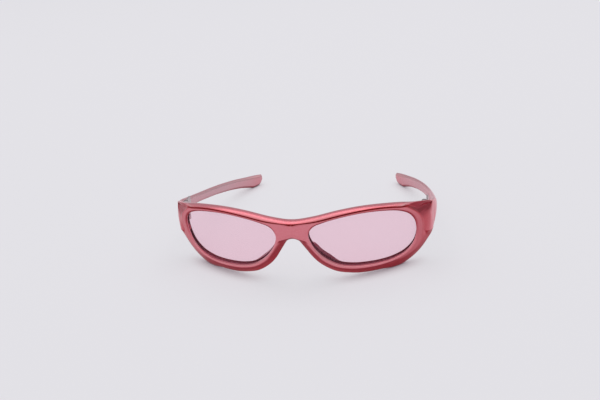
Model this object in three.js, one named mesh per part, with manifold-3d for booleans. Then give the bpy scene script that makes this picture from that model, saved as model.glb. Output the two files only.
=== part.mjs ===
// Wraparound sports glasses: one moulded front, two tinted lenses snapped into its grooves,
// two folding temples, and a three-barrel steel hinge with its screws on each side.
//
// Frame of the part: +X to the wearer's left, +Y backwards along the open temples, +Z up.
// Z = 0 is the plane that the rims and the temple tips rest on with the temples open.
// The origin is under the middle of the bounding box.
//
// The outlines below are drawn in pattern millimetres, with X = 0 on the middle plane and
// Y = 0 at the front of the bridge; SIZE turns pattern millimetres into real ones.
import * as THREE from "three";
import { mergeVertices } from "three/addons/utils/BufferGeometryUtils.js";
import Module from "manifold-3d";

const wasm = await Module();
wasm.setup();

// ---------------------------------------------------------------- driving dimensions
const SIZE = 1.05; // pattern to real size: 131 mm of pattern is a 138 mm wide frame
const Y_MIDDLE = 60.72; // pattern Y of the middle of the bounding box

// front surface: y = Y(x, z), a base curve that wraps hard towards the temples
const SURF = { x2: 0.4747, x4: 2.7906, z1: -0.06507, z2: 0.26283, x2z: -0.66394, x2z2: -0.76709 };

// lens aperture: radii every 11.25 degrees about EYE, from +X towards +Z
const EYE = [31, 21];
const APERTURE_R = [
  24.96, 24.7, 23.7, 21.5, 18.87, 16.75, 15.34, 14.48, 14.05, 14.05, 14.5, 15.46, 17.12, 19.63, 22.87, 23.85,
  22.42, 20.6, 18.96, 17.56, 16.54, 15.6, 14.88, 14.57, 14.6, 15.12, 16.25, 18.05, 20.56, 23.27, 24.9, 25.1,
];
const RECESS = 1.7; // depth of the lip in front of the lens groove
const REBATE = 0.9; // how far the groove is larger than the aperture
const GROOVE_BACK = 4.15; // rear side of the lens groove
const LENS_FRONT = 2.0; // lens front face behind the front surface
const LENS_THICK = 1.8;
const LENS_OVER = 0.6; // how far the lens is larger than the aperture
const DEPTH = 4.9; // front-to-back depth of the rims and the bridge
const PAD = 3.6; // how far the moulded nose pads stand out behind the rims

// brow line: the front edge of the top surface, and the top silhouette behind it
const BROW_EDGE = [[0, 31.98], [10.3, 33.0], [20.7, 35.24], [31, 36.87], [41.3, 37.1], [49, 35.7], [53.4, 34.3], [57.5, 33.1], [60.5, 32.2], [63.6, 31.1]];
const BROW_TOP = [[0, 32.96], [10.3, 34.35], [20.7, 36.58], [31, 37.84], [41.3, 37.65], [48.7, 36.6], [53.4, 35.4], [57.9, 34.15], [62.4, 32.6], [64.5, 31.4]];
const BROW_BACK = 3.1; // top silhouette behind the front surface

// lower outline: radii about EYE at these angles (degrees)
const LOWER = [[182, 27.0], [190, 24.75], [205, 23.21], [220, 21.76], [235, 20.77], [250, 19.81], [265, 19.75], [280, 20.42], [287.5, 21.2], [295, 22.46]];
const LOWER_BACK = 2.42;
// nose arch: angle of the aperture point, then X and Z of the outline
const ARCH = [[202, 8.0, 13.9], [196, 6.3, 16.7], [190.5, 4.8, 19.1], [186, 3.6, 21.0], [182, 2.7, 22.2], [179, 1.5, 22.95]];
const ARCH_CROWN = 23.1;

// hinge
const PIN = [59.6, 31.5]; // pattern X, Y of the hinge axis
const BARREL_R = 1.5;
const BORE_R = 0.9;
const SCREW_R = 0.6;
const SCREW_HEAD_R = 1.25;
const BARRELS = [[19.6, 21.8], [22.1, 25.9], [26.2, 28.4]]; // lower, middle, upper
const LEAF_THICK = 0.9;
const GAP = 0.3;
const BUTT_FRONT = 31.0; // rear face of the endpiece
const BUTT_TEMPLE = 31.6; // front face of the temple
const SEAT_A = [57.6, 23.6]; // hinge seat on the inside of the endpiece, from here ...
const SEAT_B = [61.4, 31.0]; // ... to the rear inner edge
const FIX_R = 0.55; // leaf fixing screws
const FIX_HOLE_R = 0.85;
const FIX_HEAD_R = 1.15;

// temples: y, outer x, top z, bottom z, thickness
const TEMPLE = [
  [31.6, 64.1, 29.4, 14.3, 2.4],
  [34.5, 64.9, 28.55, 16.0, 3.2],
  [38.5, 65.45, 27.4, 17.8, 3.75],
  [43, 65.5, 25.95, 18.8, 3.8],
  [49, 65.0, 24.3, 18.5, 3.55],
  [55.5, 64.45, 22.5, 17.35, 3.3],
  [63, 63.6, 20.5, 15.5, 3.2],
  [71, 62.4, 18.6, 13.5, 3.2],
  [79, 60.85, 16.75, 11.6, 3.2],
  [87, 58.9, 14.9, 9.5, 3.2],
  [94.5, 56.7, 13.1, 7.5, 3.2],
  [101.5, 54.3, 11.4, 5.4, 3.25],
  [107.5, 52, 9.8, 3.4, 3.3],
  [112.3, 49.8, 8.55, 1.5, 3.3],
  [116.4, 47.5, 7.65, 0, 3.3],
  [119.4, 45.35, 7, 0, 3.15],
  [121.3, 43.75, 6.5, 1, 2.9],
  [122.3, 42.75, 6.2, 2.5, 2.4],
];

// ---------------------------------------------------------------- small helpers
const rad = (d) => (d * Math.PI) / 180;
const lerp = (a, b, t) => a.map((v, i) => v + (b[i] - v) * t);

// smooth curve through points [x, y]: cubic pieces with parabolic end slopes
function smooth(points) {
  const n = points.length;
  const slope = points.map((_, i) => {
    const d = (j) => (points[j + 1][1] - points[j][1]) / (points[j + 1][0] - points[j][0]);
    if (i === 0) return d(0);
    if (i === n - 1) return d(n - 2);
    const h0 = points[i][0] - points[i - 1][0];
    const h1 = points[i + 1][0] - points[i][0];
    return (d(i - 1) * h1 + d(i) * h0) / (h0 + h1);
  });
  return (x) => {
    let i = 0;
    while (i < n - 2 && x > points[i + 1][0]) i += 1;
    const h = points[i + 1][0] - points[i][0];
    const t = (x - points[i][0]) / h;
    const t2 = t * t;
    const t3 = t2 * t;
    return (
      (2 * t3 - 3 * t2 + 1) * points[i][1] +
      (t3 - 2 * t2 + t) * h * slope[i] +
      (3 * t2 - 2 * t3) * points[i + 1][1] +
      (t3 - t2) * h * slope[i + 1]
    );
  };
}

const surfaceY = (x, z) =>
  (SURF.x2 * x * x) / 100 +
  SURF.x4 * (x / 50) ** 4 +
  SURF.z1 * (z - 20) +
  (SURF.z2 * (z - 20) ** 2) / 100 +
  (SURF.x2z * x * x * (z - 20)) / 1e4 +
  (SURF.x2z2 * x * x * (z - 20) ** 2) / 1e6;
const onSurface = (x, z, back) => [x, surfaceY(x, z) + back, z];

const wrapped = [];
for (let k = -5; k <= 37; k += 1) wrapped.push([k * 11.25, APERTURE_R[(k + 64) % 32]]);
const apertureR = smooth(wrapped);
const mirrored = (points) => [[-points[1][0], points[1][1]], ...points];
const browEdge = smooth(mirrored(BROW_EDGE));
const browTop = smooth(mirrored(BROW_TOP));
const lowerR = smooth(LOWER);
// outer crease of the rim round the outer end of the lens
const creaseR = smooth([[-43, 23.3], [-35, 25.8], [-25.4, 28.0], [-19, 28.4], [-13, 28.5], [-7, 28.4], [-3, 28.3], [2, 28.2], [9, 28.0], [15.5, 27.5], [22, 26.5], [29.3, 25.4]]);

const polar = (deg, r) => [EYE[0] + r * Math.cos(rad(deg)), EYE[1] + r * Math.sin(rad(deg))];
const angleOf = (x, z) => (Math.atan2(z - EYE[1], x - EYE[0]) * 180) / Math.PI;

function solid(geometry) {
  const g = geometry.clone();
  g.deleteAttribute("normal");
  g.deleteAttribute("uv");
  const merged = mergeVertices(g, 1e-4);
  const mesh = (flip) => {
    const triVerts = new Uint32Array(merged.index.array);
    if (flip) for (let i = 0; i < triVerts.length; i += 3) [triVerts[i + 1], triVerts[i + 2]] = [triVerts[i + 2], triVerts[i + 1]];
    return new wasm.Mesh({ numProp: 3, vertProperties: new Float32Array(merged.attributes.position.array), triVerts });
  };
  const made = new wasm.Manifold(mesh(false));
  return made.volume() < 0 ? new wasm.Manifold(mesh(true)) : made;
}

function geometryOf(manifold) {
  const m = manifold.getMesh();
  const g = new THREE.BufferGeometry();
  g.setAttribute("position", new THREE.BufferAttribute(new Float32Array(m.vertProperties), 3));
  g.setIndex(new THREE.BufferAttribute(new Uint32Array(m.triVerts), 1));
  return g;
}

function fromTriangles(triangles) {
  const g = new THREE.BufferGeometry();
  g.setAttribute("position", new THREE.BufferAttribute(new Float32Array(triangles.flat(2)), 3));
  return g;
}

// a closed tube of sections, each a ring of the same number of points, capped at both ends
function skin(rings) {
  const out = [];
  const n = rings[0].length;
  for (let i = 0; i + 1 < rings.length; i += 1)
    for (let k = 0; k < n; k += 1) {
      const [a, b, c, d] = [rings[i][k], rings[i][(k + 1) % n], rings[i + 1][(k + 1) % n], rings[i + 1][k]];
      out.push([a, b, c], [a, c, d]);
    }
  const cap = (ring, turn) => {
    const mid = ring.reduce((s, p) => s.map((v, i) => v + p[i] / n), [0, 0, 0]);
    for (let k = 0; k < n; k += 1) out.push(turn ? [mid, ring[(k + 1) % n], ring[k]] : [mid, ring[k], ring[(k + 1) % n]]);
  };
  cap(rings[0], true);
  cap(rings[rings.length - 1], false);
  return fromTriangles(out);
}

function box(x0, x1, y0, y1, z0, z1) {
  return new THREE.BoxGeometry(x1 - x0, y1 - y0, z1 - z0).translate((x0 + x1) / 2, (y0 + y1) / 2, (z0 + z1) / 2);
}

function upright(x, y, z0, z1, r, sides = 20) {
  return new THREE.CylinderGeometry(r, r, z1 - z0, sides).rotateX(Math.PI / 2).translate(x, y, (z0 + z1) / 2);
}

// ---------------------------------------------------------------- moulded front
// One half is a ring of cross-sections round the aperture. Each cross-section has these corners:
// aperture edge, lip crest, face edge, groove, brow or crease edge, shoulder, outermost edge,
// back edge, back middle, aperture edge at the back, groove back, groove floor back and front, lip back.
const step = (t) => { const u = Math.max(0, Math.min(1, t)); return u * u * (3 - 2 * u); };
const pad = (deg) => PAD * step((235 - deg) / 25) * step((deg - 180) / 9); // nose pads, on the flanks of the arch

function inner(deg) {
  const a = polar(deg, apertureR(deg));
  const r = polar(deg, apertureR(deg) + REBATE);
  return {
    a,
    edge: onSurface(...a, 0.25),
    rear: onSurface(...polar(deg, apertureR(deg) + 0.15), DEPTH - 0.2 + pad(deg) * 0.8),
    grooveBack: onSurface(...a, GROOVE_BACK),
    floorBack: onSurface(...r, GROOVE_BACK),
    floor: onSurface(...r, RECESS),
    lip: onSurface(...a, RECESS),
  };
}

function section(deg, outer, lipOut = 0.9) {
  const i = inner(deg);
  const f = outer[0];
  const span = Math.hypot(f[0] - i.a[0], f[2] - i.a[1]);
  const t = Math.min(lipOut, span * 0.45) / span;
  const crest = onSurface(i.a[0] + (f[0] - i.a[0]) * t, i.a[1] + (f[2] - i.a[1]) * t, -0.12);
  return [i.edge, crest, ...outer, i.rear, i.grooveBack, i.floorBack, i.floor, i.lip];
}

// towards its end the brow turns under: its front face becomes a scoop that ends at the temple joint
const TURN = new Map([[50, 0.2], [53, 0.55], [56, 0.85], [59, 1], [62, 1]]);
const SWEEP = new Map([[53, 0.3], [56, 1.0], [59, 2.4], [62, 5.0]]);
const SCOOP_END = [63.0, 29.9, 28.6];

function browRow(x) {
  const zk = browEdge(x);
  const zt = browTop(x);
  const deg = angleOf(x, zk);
  const { a } = inner(deg);
  const span = Math.hypot(x - a[0], zk - a[1]);
  const along = (d) => [x + ((a[0] - x) * d) / span, zk + ((a[1] - zk) * d) / span];
  const straight = x < 0.01;
  const turn = TURN.get(x) ?? 0;
  const sweep = SWEEP.get(x) ?? 0;
  const top = onSurface(x, zt, BROW_BACK + sweep);
  top[2] -= 0.437 * sweep;
  let front = onSurface(...(straight ? [0, zk - 1.05] : along(Math.min(1.0, span * 0.45))), 0);
  let groove = onSurface(...(straight ? [0, zk - 0.45] : along(Math.min(0.45, span * 0.22))), 0.6);
  let edge = onSurface(x, zk, -0.45);
  let shoulder = onSurface(x, zk + (zt - zk) * 0.8, 0.9);
  if (x > 51) {
    const f = polar(deg, creaseR(deg));
    const y = surfaceY(...f);
    const away = (r, back) => { const p = polar(deg, creaseR(deg) + r); return [p[0], y + back, p[1]]; };
    front = away(0, 0);
    groove = away(0.3, 0.7 + turn * 1.1);
    edge = lerp(edge, away(0.65, 0.9 + turn * 2.0), Math.min(1, turn * 1.3));
    if (x > 60) {
      const s = polar(22.7, creaseR(22.7) + 0.7);
      edge = lerp([s[0], surfaceY(...polar(22.7, creaseR(22.7))) + 2.9, s[1]], SCOOP_END, 0.5);
    }
  }
  shoulder = lerp(shoulder, [top[0], top[1] - 2.4, top[2] + 1.0], turn);
  const mid = [a[0] + (x - a[0]) * 0.55, a[1] + (zt - 0.9 - a[1]) * 0.55];
  return section(deg, [
    front, groove, edge, shoulder, top,
    [top[0], Math.max(top[1] + 1.0, surfaceY(x, zt) + DEPTH), top[2] - 0.75],
    onSurface(...mid, DEPTH),
  ]);
}

function sideRow(deg, zo, k, b, d, e, m) {
  const f = polar(deg, creaseR(deg));
  const g = polar(deg, creaseR(deg) + 0.45);
  const y = surfaceY(...f);
  return section(deg, [
    [f[0], y, f[1]],
    [g[0], y + 0.9, g[1]],
    k ?? [61.7, 24.9, f[1] + (zo - f[1]) * 0.4],
    b ?? [63.6, 28.1, f[1] + (zo - f[1]) * 0.75],
    d ?? [64.0, BUTT_FRONT, zo],
    e ?? [SEAT_B[0], SEAT_B[1], zo],
    m ?? [SEAT_A[0], SEAT_A[1], f[1] + (zo - f[1]) * 0.3],
  ]);
}

function lowerRow(deg, d, e, outline) {
  const i = inner(deg);
  const o = outline ?? (d ? [d[0], d[2]] : polar(deg, lowerR(deg)));
  const away = deg > 270 ? deg - 360 : deg;
  const f = away > -43 && deg > 270 ? polar(deg, creaseR(away)) : null;
  const span = Math.hypot(o[0] - i.a[0], o[1] - i.a[1]);
  const at = (s) => [i.a[0] + ((o[0] - i.a[0]) * s) / span, i.a[1] + ((o[1] - i.a[1]) * s) / span];
  const ff = f ?? at(Math.min(1.9, span * 0.4));
  const outY = d ? d[1] : surfaceY(...o) + LOWER_BACK;
  const faceY = surfaceY(...ff) + (f ? 0 : 0.12);
  const between = (t, bulge) => [ff[0] + (o[0] - ff[0]) * t, faceY + (outY - faceY) * bulge, ff[1] + (o[1] - ff[1]) * t];
  const back = e ?? (() => {
    const p = at(span - 0.55 - pad(deg) * 0.3);
    return onSurface(p[0], p[1], DEPTH + pad(deg));
  })();
  const mouth = i.rear;
  return section(deg, [
    [ff[0], faceY, ff[1]],
    between(0.22, 0.16),
    between(0.52, 0.42),
    between(0.84, 0.74),
    [o[0], outY, o[1]],
    back,
    d ? lerp(mouth, back, 0.5) : onSurface(...lerp([mouth[0], mouth[2]], [back[0], back[2]], 0.55), DEPTH + pad(deg) * 1.05),
  ]);
}

function middleRow(deg, z) {
  const i = inner(deg);
  const half = onSurface(i.a[0] * 0.5, z, DEPTH);
  return section(deg, [
    onSurface(0, z, 0),
    onSurface(0, z, 1.0),
    onSurface(0, z, 1.8),
    onSurface(0, z, 2.6),
    onSurface(0, z, 3.4),
    onSurface(0, z, DEPTH),
    half,
  ]);
}

const rows = [];
for (const x of [0, 3, 7, 11.5, 16, 20.5, 25, 29.5, 34, 38.5, 42.5, 46.5, 50, 53, 56, 59, 62]) rows.push(browRow(x));
rows.push(sideRow(15.5, 29.3, SCOOP_END, [63.3, 30.2, 29.5], [63.8, BUTT_FRONT, 29.3], [SEAT_B[0], SEAT_B[1], 29.0], [SEAT_A[0], SEAT_A[1], 28.5]));
rows.push(sideRow(9.5, 27, null, [63.2, 28.1, 26.7]));
rows.push(sideRow(3, 23.6));
rows.push(sideRow(-2.5, 19.8));
rows.push(sideRow(-8, 15.4, [61.7, 25.0, 15.9], [63.4, 28.2, 15.6], [63.9, BUTT_FRONT, 15.4], [SEAT_B[0], SEAT_B[1], 16.0], [SEAT_A[0], SEAT_A[1], 15.8]));
rows.push(lowerRow(347, [63.2, 30.5, 12.9], [60.7, 30.8, 13.6]));
rows.push(lowerRow(340, [61.4, 29.6, 10.1], [59.2, 30.5, 10.9]));
rows.push(lowerRow(332.5, [58.6, 28.0, 6.3], [57.2, 29.7, 7.0]));
rows.push(lowerRow(325, [55.6, 26.0, 3.5], [54.7, 28.0, 4.1]));
rows.push(lowerRow(317.5, onSurface(52.1, 1.4, 2.5), onSurface(51.6, 1.7, DEPTH)));
rows.push(lowerRow(310, onSurface(48.2, 0, LOWER_BACK), onSurface(48.1, 0, DEPTH)));
rows.push(lowerRow(302, onSurface(44.1, 0, LOWER_BACK), onSurface(44.1, 0, DEPTH)));
for (const deg of [295, 287.5, 280, 272.5, 265, 257.5, 250, 242.5, 235, 227.5, 220, 213.5, 208]) rows.push(lowerRow(deg));
for (const [deg, x, z] of ARCH) rows.push(lowerRow(deg, null, null, [x, z]));
{
  // the crown of the nose arch, on the middle plane
  const arch = [[1.9, 0.12], [1.5, 0.5], [0.9, 1.1], [0.3, 1.8], [0, LOWER_BACK], [0.55, DEPTH]].map(([up, back]) => [ARCH_CROWN + up, back]);
  const a = inner(176).a;
  rows.push(section(176, [...arch.map(([z, back]) => onSurface(0, z, back)), onSurface(a[0] * 0.5, 24.7, DEPTH)]));
}
rows.push(middleRow(171.5, 26.9));
rows.push(middleRow(166, 28.9));

function halfFront(side) {
  const out = [];
  const n = rows.length;
  const m = rows[0].length;
  const flat = (p) => Math.abs(p[0]) < 1e-6;
  for (let i = 0; i < n; i += 1)
    for (let k = 0; k < m; k += 1) {
      const quad = [rows[i][k], rows[i][(k + 1) % m], rows[(i + 1) % n][(k + 1) % m], rows[(i + 1) % n][k]];
      if (quad.every(flat)) continue; // the halves join here
      const [a, b, c, d] = quad.map((p) => [p[0] * side, p[1], p[2]]);
      if (side > 0) out.push([a, b, c], [a, c, d]);
      else out.push([a, c, b], [a, d, c]);
    }
  return out;
}

// frame of the hinge seat on the inside of the right endpiece: along the seat (forwards) and off it (inwards)
const seatLength = Math.hypot(SEAT_B[0] - SEAT_A[0], SEAT_B[1] - SEAT_A[1]);
const seatBack = [(SEAT_B[0] - SEAT_A[0]) / seatLength, (SEAT_B[1] - SEAT_A[1]) / seatLength];
const seatOff = [-seatBack[1], seatBack[0]];
const pinOff = (PIN[0] - SEAT_B[0]) * seatOff[0] + (PIN[1] - SEAT_B[1]) * seatOff[1];
const seatTurn = Math.atan2(-seatBack[0], seatBack[1]); // turns +Y onto the seat's rearward direction
// seat frame to part frame: x' = off the seat (towards the head is negative x'), y' = rearwards from the pin
const seatFrame = (g) => g.rotateZ(seatTurn).translate(PIN[0] - seatOff[0] * pinOff, PIN[1] - seatOff[1] * pinOff, 0);
const FIX_FRONT_Y = -4.9; // fixing screw, along the seat from the pin
const FIX_Z = 24;
const FIX_TEMPLE_Y = 37.6;
const TEMPLE_INNER = TEMPLE[0][1] - TEMPLE[0][4]; // inner face of the temple at the hinge

function along(g) {
  return g.rotateZ(-Math.PI / 2); // a cylinder along Y becomes one along X
}

function fixing(x0, x1, y, z, r, sides = 16) {
  return along(new THREE.CylinderGeometry(r, r, x1 - x0, sides)).translate((x0 + x1) / 2, y, z);
}

const mirror = (g, side) => {
  if (side > 0) return g;
  const s = g.index ? g.toNonIndexed() : g.clone();
  const p = s.attributes.position.array;
  for (let i = 0; i < p.length; i += 9) {
    for (let k = 0; k < 9; k += 3) p[i + k] *= -1;
    for (let k = 0; k < 3; k += 1) [p[i + 3 + k], p[i + 6 + k]] = [p[i + 6 + k], p[i + 3 + k]];
  }
  s.deleteAttribute("normal");
  s.deleteAttribute("uv");
  return s;
};

function frontFrame() {
  let body = solid(fromTriangles([...halfFront(1), ...halfFront(-1)]));
  for (const side of [1, -1]) {
    const hole = seatFrame(fixing(-1, 2.1, FIX_FRONT_Y, FIX_Z, FIX_HOLE_R));
    body = body.subtract(solid(mirror(hole, side)));
  }
  return geometryOf(body);
}

// ---------------------------------------------------------------- lens
function lens() {
  const N = 40;
  const ring = (share, back) => {
    const out = [];
    for (let k = 0; k < N; k += 1) {
      const deg = (k * 360) / N;
      out.push(onSurface(...polar(deg, (apertureR(deg) + LENS_OVER) * share), back));
    }
    return out;
  };
  const shares = [0.3, 0.62, 0.88, 1];
  const front = shares.map((s) => ring(s, LENS_FRONT));
  const rear = shares.map((s) => ring(s, LENS_FRONT + LENS_THICK));
  const loops = [...front, ...rear.slice().reverse()];
  const out = [];
  for (let i = 0; i + 1 < loops.length; i += 1)
    for (let k = 0; k < N; k += 1) {
      const [a, b, c, d] = [loops[i][k], loops[i][(k + 1) % N], loops[i + 1][(k + 1) % N], loops[i + 1][k]];
      out.push([a, b, c], [a, c, d]);
    }
  for (const [loop, back, turn] of [[loops[0], LENS_FRONT, false], [loops[loops.length - 1], LENS_FRONT + LENS_THICK, true]]) {
    const mid = onSurface(EYE[0], EYE[1], back);
    for (let k = 0; k < N; k += 1) out.push(turn ? [mid, loop[k], loop[(k + 1) % N]] : [mid, loop[(k + 1) % N], loop[k]]);
  }
  return fromTriangles(out);
}

// ---------------------------------------------------------------- temple
function templeRing(i) {
  const [y, xo, zt, zb, thick] = TEMPLE[i];
  const before = TEMPLE[Math.max(0, i - 1)];
  const after = TEMPLE[Math.min(TEMPLE.length - 1, i + 1)];
  const lead = y < 44 ? 0 : Math.min(1, (y - 43) / 15);
  const angle = Math.atan2(before[1] - after[1], after[0] - before[0]) * lead;
  const c = Math.min(1.15, thick * 0.34, (zt - zb) * 0.3); // corner
  const w = Math.min(0.35, thick * 0.12);
  // across the temple (0 is the outer face) and height
  const outline = [
    [w * 0.6, zb + c * 1.5], [0, zb + (zt - zb) * 0.35], [0, zb + (zt - zb) * 0.68], [w, zt - c * 0.9], [c, zt],
    [thick - c, zt], [thick, zt - c], [thick, zb + c], [thick - c, zb], [c, zb],
  ];
  return outline.map(([s, z]) => [xo - s * Math.cos(angle), y - s * Math.sin(angle), z]);
}

function temple() {
  let body = solid(skin(TEMPLE.map((_, i) => templeRing(i))));
  body = body.subtract(solid(fixing(TEMPLE_INNER - 1, TEMPLE_INNER + 1.9, FIX_TEMPLE_Y, FIX_Z, FIX_HOLE_R)));
  return geometryOf(body);
}

// ---------------------------------------------------------------- hinge
function frontLeaf() {
  const [low, , high] = BARRELS;
  const x = (d) => -d; // off the seat, towards the head
  let leaf = solid(seatFrame(box(x(GAP + LEAF_THICK), x(GAP), -7.3, -2.2, low[0], high[1])));
  for (const [z0, z1] of [low, high]) {
    leaf = leaf.add(solid(seatFrame(box(x(GAP + LEAF_THICK + 0.4), x(GAP + 0.1), -2.6, 0, z0, z1))));
    leaf = leaf.add(solid(upright(PIN[0], PIN[1], z0, z1, BARREL_R)));
  }
  leaf = leaf.subtract(solid(upright(PIN[0], PIN[1], low[0] - 1, high[1] + 1, BORE_R)));
  leaf = leaf.subtract(solid(seatFrame(fixing(-3, 1, FIX_FRONT_Y, FIX_Z, FIX_HOLE_R))));
  return geometryOf(leaf);
}

function templeLeaf() {
  const middle = BARRELS[1];
  const x1 = TEMPLE_INNER - GAP;
  const x0 = x1 - LEAF_THICK;
  let leaf = solid(box(x0, x1, PIN[1] + 2.1, 41.4, BARRELS[0][0] + 0.8, BARRELS[2][1] - 0.8));
  leaf = leaf.add(solid(box(x0 - 0.3, x1 - 0.1, PIN[1], PIN[1] + 2.5, middle[0], middle[1])));
  leaf = leaf.add(solid(upright(PIN[0], PIN[1], middle[0], middle[1], BARREL_R)));
  leaf = leaf.subtract(solid(upright(PIN[0], PIN[1], middle[0] - 1, middle[1] + 1, BORE_R)));
  leaf = leaf.subtract(solid(fixing(x0 - 1, x1 + 1, FIX_TEMPLE_Y, FIX_Z, FIX_HOLE_R)));
  return geometryOf(leaf);
}

function hingeScrew() {
  const z0 = BARRELS[0][0] - 0.3;
  const top = BARRELS[2][1] + GAP;
  const screw = new THREE.LatheGeometry(
    [[0, z0], [SCREW_R - 0.15, z0], [SCREW_R, z0 + 0.2], [SCREW_R, top], [SCREW_HEAD_R, top], [SCREW_HEAD_R, top + 0.45], [SCREW_HEAD_R - 0.35, top + 0.8], [0, top + 0.8]].map(([r, h]) => new THREE.Vector2(r, h)),
    20,
  ).rotateX(Math.PI / 2).translate(PIN[0], PIN[1], 0);
  const slot = box(PIN[0] - 2, PIN[0] + 2, PIN[1] - 0.2, PIN[1] + 0.2, top + 0.45, top + 2);
  return geometryOf(solid(screw).subtract(solid(slot)));
}

function fixingScrew(plateX, depthX, y) {
  // head on the plate's inner side, shank into the plastic
  const headTop = plateX - GAP - 0.6;
  const screw = new THREE.LatheGeometry(
    [[0, 0], [FIX_HEAD_R - 0.3, 0], [FIX_HEAD_R, 0.25], [FIX_HEAD_R, 0.6], [FIX_R, 0.6], [FIX_R, depthX - headTop - 0.4], [0, depthX - headTop]].map(([r, h]) => new THREE.Vector2(r, h)),
    16,
  );
  const g = along(screw.rotateX(Math.PI)); // +Y to -Y, then onto X
  g.rotateZ(0).translate(0, 0, 0);
  g.computeBoundingBox();
  if (g.boundingBox.min.x < -0.01) g.rotateZ(Math.PI);
  g.translate(headTop, y, FIX_Z);
  const slot = box(headTop - 1, headTop + 0.3, y - 2, y + 2, FIX_Z - 0.18, FIX_Z + 0.18);
  return solid(g).subtract(solid(slot));
}

// ---------------------------------------------------------------- assembly
const PAINT = () => new THREE.MeshStandardMaterial({ color: 0xb95c69, roughness: 0.32, metalness: 0.55 });
const TINT = () => new THREE.MeshStandardMaterial({ color: 0xe3a3bb, roughness: 0.05, metalness: 0, transparent: true, opacity: 0.45 });
const STEEL = () => new THREE.MeshStandardMaterial({ color: 0xb9b6b4, roughness: 0.3, metalness: 1 });

const glasses = new THREE.Group();

function place(name, geometry, material, side) {
  const g = mirror(geometry, side);
  const flat = g.index ? g.toNonIndexed() : g.clone();
  flat.deleteAttribute("normal");
  flat.deleteAttribute("uv");
  const whole = mergeVertices(flat.translate(0, -Y_MIDDLE, 0).scale(SIZE, SIZE, SIZE), 1e-4);
  whole.computeVertexNormals();
  const mesh = new THREE.Mesh(geometryOf(solid(whole)), material);
  mesh.geometry.computeVertexNormals();
  mesh.name = name;
  glasses.add(mesh);
}

place("front_frame", frontFrame(), PAINT(), 1);
for (const [label, side] of [["right", 1], ["left", -1]]) {
  place(`lens_${label}`, lens(), TINT(), side);
  place(`temple_${label}`, temple(), PAINT(), side);
  place(`hinge_front_leaf_${label}`, frontLeaf(), STEEL(), side);
  place(`hinge_temple_leaf_${label}`, templeLeaf(), STEEL(), side);
  place(`hinge_screw_${label}`, hingeScrew(), STEEL(), side);
  place(`front_leaf_screw_${label}`, seatFrame(geometryOf(fixingScrew(-(GAP + LEAF_THICK), 1.8, FIX_FRONT_Y))), STEEL(), side);
  place(`temple_leaf_screw_${label}`, geometryOf(fixingScrew(TEMPLE_INNER - GAP - LEAF_THICK, TEMPLE_INNER + 1.6, FIX_TEMPLE_Y)), STEEL(), side);
}

export default glasses;
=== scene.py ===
"""Looks of the wraparound sports glasses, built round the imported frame. Blender 4.5, metres, +Z up.

The moulded front, the lenses and the temples are rebuilt here as fine, rounded meshes on the same
drawn curves as the CAD solids; the steel hinge parts are the CAD nodes with their own material.
"""

import math

import bpy
import bmesh
import numpy as np
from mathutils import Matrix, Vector


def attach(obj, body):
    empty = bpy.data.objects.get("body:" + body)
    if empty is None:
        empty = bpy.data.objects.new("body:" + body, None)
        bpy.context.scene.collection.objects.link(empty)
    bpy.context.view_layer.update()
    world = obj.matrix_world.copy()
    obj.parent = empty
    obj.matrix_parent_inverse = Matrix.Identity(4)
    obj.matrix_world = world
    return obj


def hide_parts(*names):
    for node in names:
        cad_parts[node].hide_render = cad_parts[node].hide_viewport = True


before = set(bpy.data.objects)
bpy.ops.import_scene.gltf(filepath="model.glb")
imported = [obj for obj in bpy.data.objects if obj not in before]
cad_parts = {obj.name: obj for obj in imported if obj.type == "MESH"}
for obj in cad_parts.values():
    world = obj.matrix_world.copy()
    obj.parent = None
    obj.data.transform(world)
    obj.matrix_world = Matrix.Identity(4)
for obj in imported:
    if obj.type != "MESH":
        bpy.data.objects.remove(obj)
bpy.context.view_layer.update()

# ------------------------------------------------------------------ pattern, as in the CAD part (mm)
SIZE, Y_MIDDLE = 1.05, 60.72
SURF = dict(x2=0.4747, x4=2.7906, z1=-0.06507, z2=0.26283, x2z=-0.66394, x2z2=-0.76709)
EYE = np.array([31.0, 21.0])
APERTURE_R = [24.96, 24.7, 23.7, 21.5, 18.87, 16.75, 15.34, 14.48, 14.05, 14.05, 14.5, 15.46, 17.12, 19.63, 22.87, 23.85,
              22.42, 20.6, 18.96, 17.56, 16.54, 15.6, 14.88, 14.57, 14.6, 15.12, 16.25, 18.05, 20.56, 23.27, 24.9, 25.1]
RECESS, REBATE, LENS_FRONT, LENS_THICK, LENS_OVER, DEPTH = 1.7, 0.9, 2.0, 1.8, 0.6, 4.9
GROOVE_BACK, PAD = 4.15, 3.6
BROW_EDGE = [[0, 31.98], [10.3, 33.0], [20.7, 35.24], [31, 36.87], [41.3, 37.1], [49, 35.7], [53.4, 34.3], [57.5, 33.1], [60.5, 32.2], [63.6, 31.1]]
BROW_TOP = [[0, 32.96], [10.3, 34.35], [20.7, 36.58], [31, 37.84], [41.3, 37.65], [48.7, 36.6], [53.4, 35.4], [57.9, 34.15], [62.4, 32.6], [64.5, 31.4]]
BROW_BACK = 3.1
LOWER = [[182, 27.0], [190, 24.75], [205, 23.21], [220, 21.76], [235, 20.77], [250, 19.81], [265, 19.75], [280, 20.42], [287.5, 21.2], [295, 22.46]]
LOWER_BACK = 2.42
ARCH = [[202, 8.0, 13.9], [196, 6.3, 16.7], [190.5, 4.8, 19.1], [186, 3.6, 21.0], [182, 2.7, 22.2], [179, 1.5, 22.95]]
ARCH_CROWN = 23.1
CREASE = [[-43, 23.3], [-35, 25.8], [-25.4, 28.0], [-19, 28.4], [-13, 28.5], [-7, 28.4], [-3, 28.3], [2, 28.2], [9, 28.0], [15.5, 27.5], [22, 26.5], [29.3, 25.4]]
BUTT_FRONT, SEAT_A, SEAT_B = 31.0, (57.6, 23.6), (61.4, 31.0)
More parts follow.
